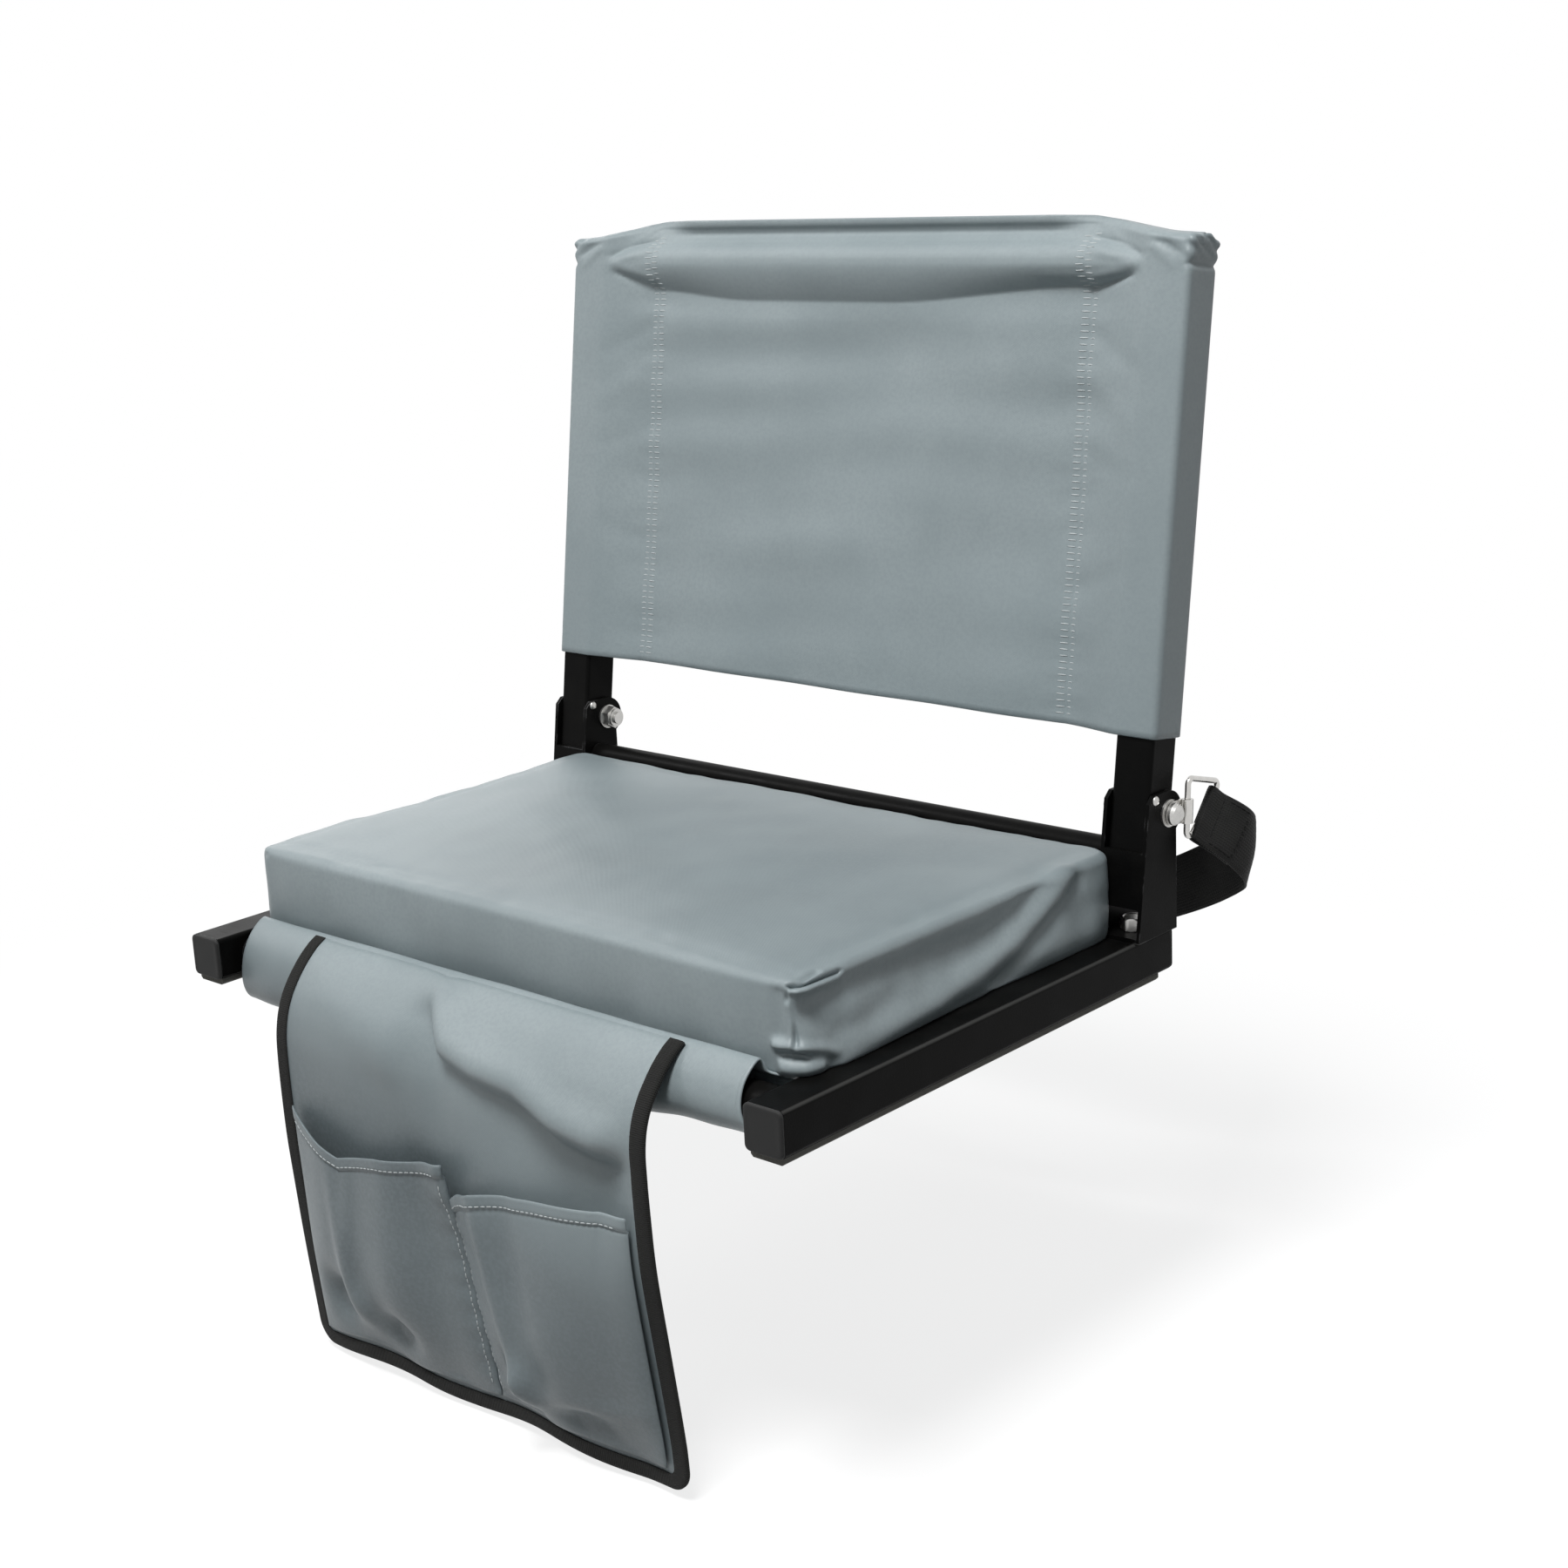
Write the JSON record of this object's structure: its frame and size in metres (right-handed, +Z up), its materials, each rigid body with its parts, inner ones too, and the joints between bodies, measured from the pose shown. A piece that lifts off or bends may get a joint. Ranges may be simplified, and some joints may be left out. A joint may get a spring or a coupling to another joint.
{
  "type": "folding bleacher seat",
  "caption": "Low folding seat for a bench: steel tube base, box cushion, cloth back on uprights that fold forward, hanging pocket bag and carrying strap.",
  "frame": {"origin": "on the bench plane under the foot strips, midway between the rails and at half their length", "axes": "+X to the viewer's right as seen from the front, +Y to the back, +Z up"},
  "size_m": [0.5111, 0.4195, 0.6392],
  "materials": {
    "black_steel": "semi-gloss black powder coat, worn bright along some edges",
    "cap_plastic": "matte moulded black",
    "strip_rubber": "matte dark grey",
    "zinc_steel": "bright zinc plate",
    "nickel_wire": "bright nickel plate",
    "grey_cloth": "coated woven polyester with a slight sheen",
    "binding_tape": "ribbed woven tape",
    "webbing": "ribbed woven webbing",
    "cushion_fill": "open-cell foam, hidden by its cover"
  },
  "bodies": {
    "base": {"left_rail": "black_steel", "right_rail": "black_steel", "left_front_cap": "cap_plastic", "right_front_cap": "cap_plastic", "left_rear_cap": "cap_plastic", "right_rear_cap": "cap_plastic", "left_foot_strip": "strip_rubber", "right_foot_strip": "strip_rubber", "strip_rivets": "zinc_steel", "front_cross_tube": "black_steel", "rear_deck_tube": "black_steel", "rear_cross_bar": "black_steel", "left_bracket": "black_steel", "right_bracket": "black_steel", "bracket_bolts": "zinc_steel", "bracket_nuts": "zinc_steel", "pivot_bolts": "zinc_steel", "pivot_nuts": "zinc_steel", "pivot_washers": "zinc_steel", "seat_deck": "grey_cloth", "cushion_cover": "grey_cloth", "cushion_foam": "cushion_fill", "bag_yoke": "grey_cloth", "yoke_binding": "binding_tape"},
    "back": {"left_upright": "black_steel", "right_upright": "black_steel", "pivot_bushes": "nickel_wire", "top_plugs": "cap_plastic", "heel_plugs": "cap_plastic", "top_cross_tube": "black_steel", "back_cover": "grey_cloth"},
    "bag": {"bag_panel": "grey_cloth", "left_pocket": "grey_cloth", "right_pocket": "grey_cloth", "bag_binding": "binding_tape"},
    "strap": {"left_ring_clip": "nickel_wire", "right_ring_clip": "nickel_wire", "left_strap_ring": "nickel_wire", "right_strap_ring": "nickel_wire", "carry_strap": "webbing"}
  },
  "joints": [
    {"name": "back_fold", "type": "hinge", "parent": "base", "child": "back", "pos_m": [0, 0.1615, 0.099], "axis": [1, 0, 0], "range_deg": [0, 98.4]},
    {"name": "bag_swing", "type": "hinge", "parent": "base", "child": "bag", "pos_m": [0, -0.1743, -0.004], "axis": [1, 0, 0], "range_deg": [-90, 0]},
    {"name": "strap_swing", "type": "hinge", "parent": "base", "child": "strap", "pos_m": [0, 0.1615, 0.099], "axis": [1, 0, 0], "range_deg": [0, 60]}
  ]
}
